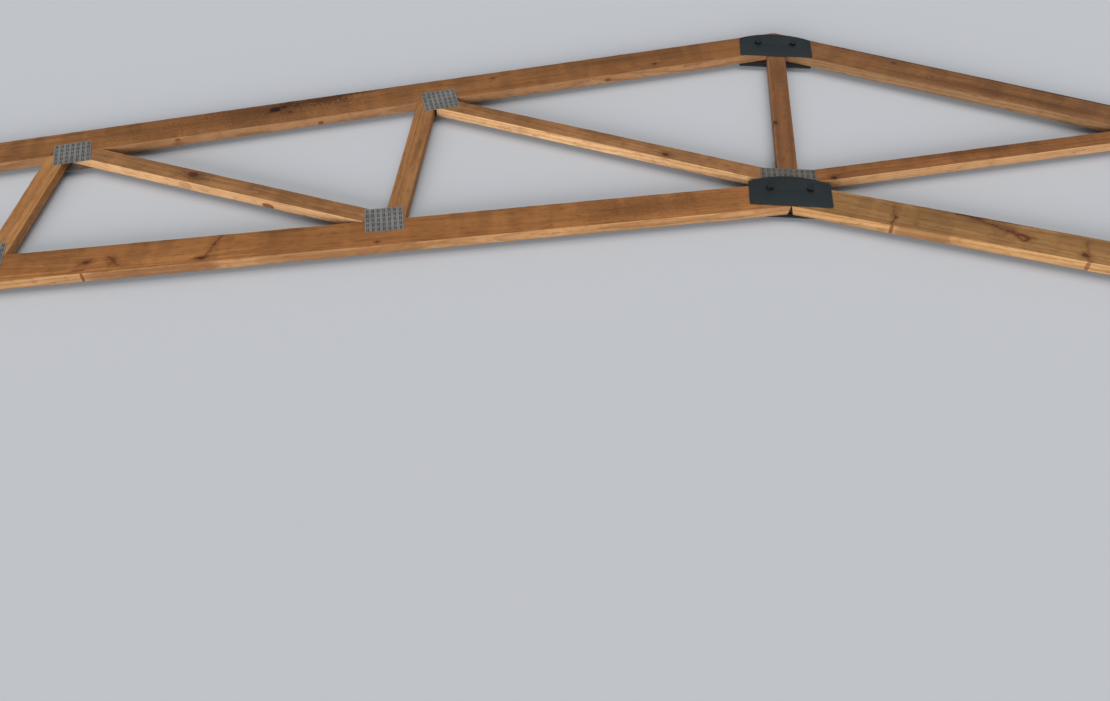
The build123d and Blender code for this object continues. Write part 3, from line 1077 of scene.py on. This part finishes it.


# %% [markdown]
# ## Giving each board its own wood
# Boards of one truss come from different trees, so each has its own tone and its own place in the
# pattern. The narrow edges of chords and diagonals are painted paler than the darkened faces: partly
# the planed wood's own tone, partly painted light, as if lit from below. Where the photograph shows a
# knot or a stain, it is put there, at a place listed in metres along and across the board from its
# middle; the other boards get their knots by chance.

# %% Tones and marks
# For each board or kind of timber: its face tone, then its paler edge tone, partly painted light from below.
tones = {
    "top_chord_inner_left": ((129, 85, 47), (142, 103, 70)),
    "top_chord_inner_right": ((121, 81, 48), (130, 96, 65)),
    "bottom_chord_inner_left": ((141, 92, 50), (165, 121, 80)),
    "bottom_chord_inner_right": ((140, 101, 60), (176, 132, 86)),
    "king_post": ((118, 77, 46), (142, 102, 69)),
    "upright": ((145, 100, 60), (145, 100, 60)),
    "upright_middle_left": ((161, 112, 66), (161, 112, 66)),
    "diagonal_inner_right": ((130, 84, 46), (178, 135, 94)),
    "diagonal": ((137, 95, 58), (193, 149, 105)),
    "chord": ((138, 95, 55), (159, 116, 77)),
}
hand_marks = {
    "top_chord_inner_left": {
        "knots": [
            (0.458, 0.026, 0.020, 1.3), (0.492, 0.036, 0.012, 1.15), (0.437, 0.012, 0.008, 0.8),
            (0.514, -0.004, 0.008, 0.7), (-1.35, -0.020, 0.010, 0.9), (1.36, 0.030, 0.007, 0.7),
            (2.05, -0.034, 0.008, 0.8),
        ],
        "stains": [
            (0.38, 0.010, 0.62, 0.085, 0.42), (0.47, 0.030, 0.30, 0.050, 0.35),
            (0.62, 0.046, 0.19, 0.036, 0.95), (0.72, 0.062, 0.20, 0.010, 0.80),
            (0.462, 0.028, 0.040, 0.026, 0.3), (-0.35, -0.055, 0.06, 0.014, 0.8),
            (1.9, 0.03, 0.3, 0.02, 0.4),
        ],
        "edge_marks": [
            (0.628, -0.008, 0.012, 0.008, 0.95), (0.068, 0.010, 0.012, 0.007, 0.8),
            (1.835, -0.003, 0.014, 0.009, 0.9),
        ],
    },
    "bottom_chord_inner_left": {
        "knots": [
            (-0.775, -0.013, 0.010, 0.75), (-0.378, -0.047, 0.009, 0.95), (0.237, -0.049, 0.006, 0.8),
            (-1.42, 0.022, 0.011, 0.9),
        ],
        "stains": [
            (-0.684, -0.020, 0.030, 0.038, 0.5), (-0.385, -0.046, 0.04, 0.010, 0.7),
            (1.25, 0.01, 0.25, 0.05, 0.35),
        ],
        "cracks": [
            ((-0.390, -0.047), (-0.362, -0.040), 0.0060, 0.9),
            ((-0.358, -0.033), (-0.342, 0.004), 0.0036, 0.6),
            ((-0.338, 0.018), (-0.313, 0.064), 0.0040, 0.75),
            ((-0.823, -0.056), (-0.783, -0.050), 0.0036, 0.7),
            ((-0.800, -0.020), (-0.760, -0.006), 0.0070, 0.6),
            ((-0.700, 0.004), (-0.668, -0.038), 0.0070, 0.6),
        ],
        "edge_marks": [
            (-0.55, 0.0, 0.235, 0.06, 0.5), (0.1, 0.0, 0.30, 0.06, 0.3),
            (-0.785, 0.0, 0.006, 0.024, 0.85),
        ],
    },
    "diagonal_middle_left": {
        "knots": [(-0.150, 0.009, 0.017, 0.85)],
        "stains": [(-0.14, 0.0, 0.07, 0.03, 0.5)],
        "edge_marks": [(0.191, -0.009, 0.026, 0.012, 0.9), (-0.16, 0.0, 0.03, 0.02, 0.3)],
    },
    "diagonal_inner_left": {
        "knots": [(0.251, -0.014, 0.010, 0.95)],
        "stains": [(0.25, -0.01, 0.05, 0.02, 0.5)],
    },
    "diagonal_inner_right": {
        "knots": [(-0.562, -0.026, 0.011, 1.0)],
        "stains": [(0.1, 0.02, 0.3, 0.02, 0.4)],
    },
    "king_post": {"knots": [(-0.070, 0.030, 0.009, 0.9)], "stains": [(0.30, 0.0, 0.12, 0.03, 0.4)]},
    "top_chord_inner_right": {
        "knots": [(-2.10, 0.035, 0.006, 0.6), (0.9, 0.02, 0.010, 0.8)],
        "stains": [(-1.60, -0.020, 0.55, 0.034, 0.45), (-1.2, 0.064, 1.4, 0.007, 0.8)],
    },
    "bottom_chord_inner_right": {
        "knots": [(-1.380, -0.022, 0.006, 0.7), (-0.729, -0.036, 0.010, 0.85), (0.6, 0.03, 0.010, 0.9)],
        "cracks": [
            ((-1.165, 0.067), (-1.090, 0.062), 0.0070, 0.95),
            ((-1.130, 0.064), (-1.046, 0.037), 0.0036, 0.55),
            ((-1.046, 0.037), (-0.990, 0.019), 0.0052, 0.75),
            ((-0.990, 0.019), (-0.914, 0.000), 0.0080, 0.95),
            ((-0.980, 0.030), (-0.940, -0.014), 0.0045, 0.7),
            ((-0.930, -0.018), (-0.911, 0.004), 0.0045, 0.8),
            ((-1.390, 0.046), (-1.384, -0.010), 0.0036, 0.35),
            ((-1.384, -0.012), (-1.389, -0.066), 0.0052, 0.7),
            ((-0.721, 0.042), (-0.716, -0.020), 0.0040, 0.4),
            ((-0.726, -0.024), (-0.708, -0.064), 0.0056, 0.7),
        ],
        "stains": [(-1.05, 0.045, 0.12, 0.018, 0.30), (-1.00, 0.068, 0.26, 0.006, 0.8)],
        "edge_marks": [
            (-1.389, 0.0, 0.007, 0.03, 0.8), (-1.28, 0.0, 0.10, 0.06, 0.4),
            (-0.716, 0.0, 0.008, 0.03, 0.7),
        ],
    },
}
print(len(hand_marks), "boards with marks set by hand")

# %% Finish the timbers
for number, (name, piece) in enumerate(sorted(timbers.items())):
    tone, planed_and_lit_edge_tone = tones.get(name) or tones.get(name.split("_")[0]) or tones["chord"]
    width = chord_width if "chord" in name else web_width
    marks = hand_marks.get(name, {})
    dress(piece, pine(name, *grain_lines[name], width, 1.0 + number, tone, planed_and_lit_edge_tone, marks))
print(len(timbers), "boards have their wood")

# %% [markdown]
# ## Galvanised sheet, slate paint and blackened bolts
# Galvanised nail plates are a dull grey, a little mottled by the crystals of the zinc, and the floors
# of their slots are painted dark: partly painted shade in the recesses, partly dust. The ridge plates
# are painted dark all over as painted shade. The splice plates have a matt slate coat that is dusty in
# places, and the bolts are blackened steel.


# %% The steel recipes
def galvanised(name, dark, light, bright):
    """Dull zinc with a faint mottle, in three greys."""
    finish, tree, shader = new_finish(name, 0.55, 0.35, 0.35)
    where = place_on(tree)
    crystals = cells(tree, where, 210.0)[1]
    cloud = noise(tree, where, 24.0, 4.0)
    dull = blend(tree, ramp(tree, cloud, 0.35, 0.65), paint(*dark), paint(*light))
    dull = blend(tree, ramp(tree, crystals, 0.0, 1.0, 0.0, 0.25, False), dull, paint(*bright))
    tree.links.new(dull, shader.inputs["Base Color"])
    tree.links.new(ramp(tree, cloud, 0.3, 0.7, 0.62, 0.42, False), shader.inputs["Roughness"])
    relief(tree, shader, crystals, 0.00005)
    return finish


def slot_shade_and_dust():
    """The bottom of a punched slot, painted dark: partly painted shade in the recess, partly dust."""
    finish, tree, shader = new_finish("slot_painted_shade_and_dust", 0.85, 0.0, 0.2)
    cloud = noise(tree, place_on(tree), 60.0, 4.0)
    # Dark greys in clouds: the painted shade of the slot, with dust in it.
    slot_shade_and_dust_colour = blend(tree, ramp(tree, cloud, 0.3, 0.7), paint(57, 54, 50), paint(84, 77, 68))
    tree.links.new(slot_shade_and_dust_colour, shader.inputs["Base Color"])
    return finish


def slate():
    """Matt slate paint, dusty in clouds."""
    finish, tree, shader = new_finish("slate_paint", 0.7, 0.0, 0.18)
    where = place_on(tree)
    cloud = noise(tree, where, 9.0, 5.0, 0.6)
    specks = noise(tree, where, 260.0, 2.0)
    coat = blend(tree, ramp(tree, cloud, 0.35, 0.7), paint(29, 36, 39), paint(36, 43, 46))
    coat = blend(tree, ramp(tree, specks, 0.64, 0.78, 0.0, 0.25), coat, paint(74, 77, 77))
    tree.links.new(coat, shader.inputs["Base Color"])
    tree.links.new(ramp(tree, cloud, 0.3, 0.7, 0.62, 0.8, False), shader.inputs["Roughness"])
    relief(tree, shader, noise(tree, where, 420.0, 3.0), 0.00008)
    return finish


def dark_steel():
    """Blackened bolt steel."""
    finish, tree, shader = new_finish("dark_bolt_steel", 0.5, 0.4, 0.35)
    cloud = noise(tree, place_on(tree), 120.0, 4.0)
    black = blend(tree, ramp(tree, cloud, 0.35, 0.7), paint(14, 15, 17), paint(30, 31, 32))
    tree.links.new(black, shader.inputs["Base Color"])
    tree.links.new(ramp(tree, cloud, 0.3, 0.7, 0.38, 0.6, False), shader.inputs["Roughness"])
    return finish


# %% Finish the steel
zinc = galvanised("galvanised_zinc", (103, 102, 99), (121, 121, 118), (145, 145, 143))
dusty_zinc = galvanised("dusty_zinc", (84, 80, 75), (99, 95, 90), (114, 111, 106))
# The ridge plates are a dark brown grey all over as painted shade. Where the back one shows between the
# chords beside the king post, it lies in shadow.
painted_shade_zinc = galvanised("painted_shade_zinc", (50, 42, 36), (66, 56, 48), (76, 68, 60))
sheet_finishes = {"peak": dusty_zinc, "ridge": painted_shade_zinc}
slot_shade_and_dust_finish, slate_coat, bolt_steel = slot_shade_and_dust(), slate(), dark_steel()
front_floor = wood_front + sheet - slot_floor
back_floor = wood_back - sheet + slot_floor
for place, pair in plates.items():
    dress(pair, sheet_finishes.get(place, zinc), slot_shade_and_dust_finish)
    # The sunk slot floors take the second finish: painted shade in the recess, with dust.
    for face in pair.data.polygons:
        z = face.center.z
        sunk = wood_front + hair < z < front_floor + hair or back_floor - hair < z < wood_back - hair
        face.material_index = 1 if sunk and abs(face.normal.z) > 0.9 else 0
for plate in splices:
    dress(plate, slate_coat)
for pair in fixings:
    dress(pair, bolt_steel)
print("steel finished on", len(plates) + len(splices) + len(fixings), "pieces")

# %% [markdown]
# ## A plain stage
# The floor is a large pale plane. A broad soft lamp in front of the truss stands for the light that
# comes from below in the photograph, so the lower edges of the timbers are the brightest, and a wide
# lamp overhead and the world fill the shadows. Both lamps stand so far off that they light the whole
# floor evenly, and at their level the floor renders in the very tone that it is painted.

# %% Floor and light
floor_size = 400
floor = added(bpy.ops.mesh.primitive_plane_add, size=floor_size)
floor.name = "floor"
floor_paint, tree, shader = new_finish("floor_paint", 0.9, 0.0, 0.2)
shader.inputs["Base Color"].default_value = paint(186, 188, 192)
dress(floor, floor_paint)


def soft_lamp(name, place, spread, strength):
    """A lamp so far away that it lights the whole floor evenly, as wide in the sky as its spread."""
    lamp = bpy.data.objects.new(name, bpy.data.lights.new(name, "SUN"))
    lamp.data.energy = strength
    lamp.data.angle = math.radians(spread)
    lamp.location = place
    lamp.rotation_euler = (-Vector(place)).to_track_quat("-Z", "Y").to_euler()
    bpy.context.scene.collection.objects.link(lamp)


soft_lamp("front_lamp", place=(-1.5, -9.0, 3.0), spread=28, strength=3.05)
soft_lamp("overhead_lamp", place=(1.5, 2.0, 9.0), spread=53, strength=1.25)
world = bpy.data.worlds.new("studio")
bpy.context.scene.world = world
world.use_nodes = True
sky = world.node_tree.nodes["Background"]
sky.inputs["Color"].default_value = (0.95, 0.97, 1.0, 1.0)
sky.inputs["Strength"].default_value = 0.40
bpy.context.scene.view_settings.view_transform = "Standard"

# %% [markdown]
# ## The photograph's viewing angle
# The photographer stood below the truss and a little to its left and looked up. On the floor that is
# the same as looking down from in front of its lower side. The place, the turn and the lens were
# fitted to the edges of the timbers.

# %% Camera
camera = bpy.data.objects.new("camera", bpy.data.cameras.new("camera"))
camera.location = (-0.608, -2.6392, 2.6304)
camera.rotation_euler = (math.radians(42.309), math.radians(0.250), math.radians(4.651))
camera.data.lens = 34.88
camera.data.sensor_width = 36.0
camera.data.clip_end = 200.0
bpy.context.scene.collection.objects.link(camera)
bpy.context.scene.camera = camera
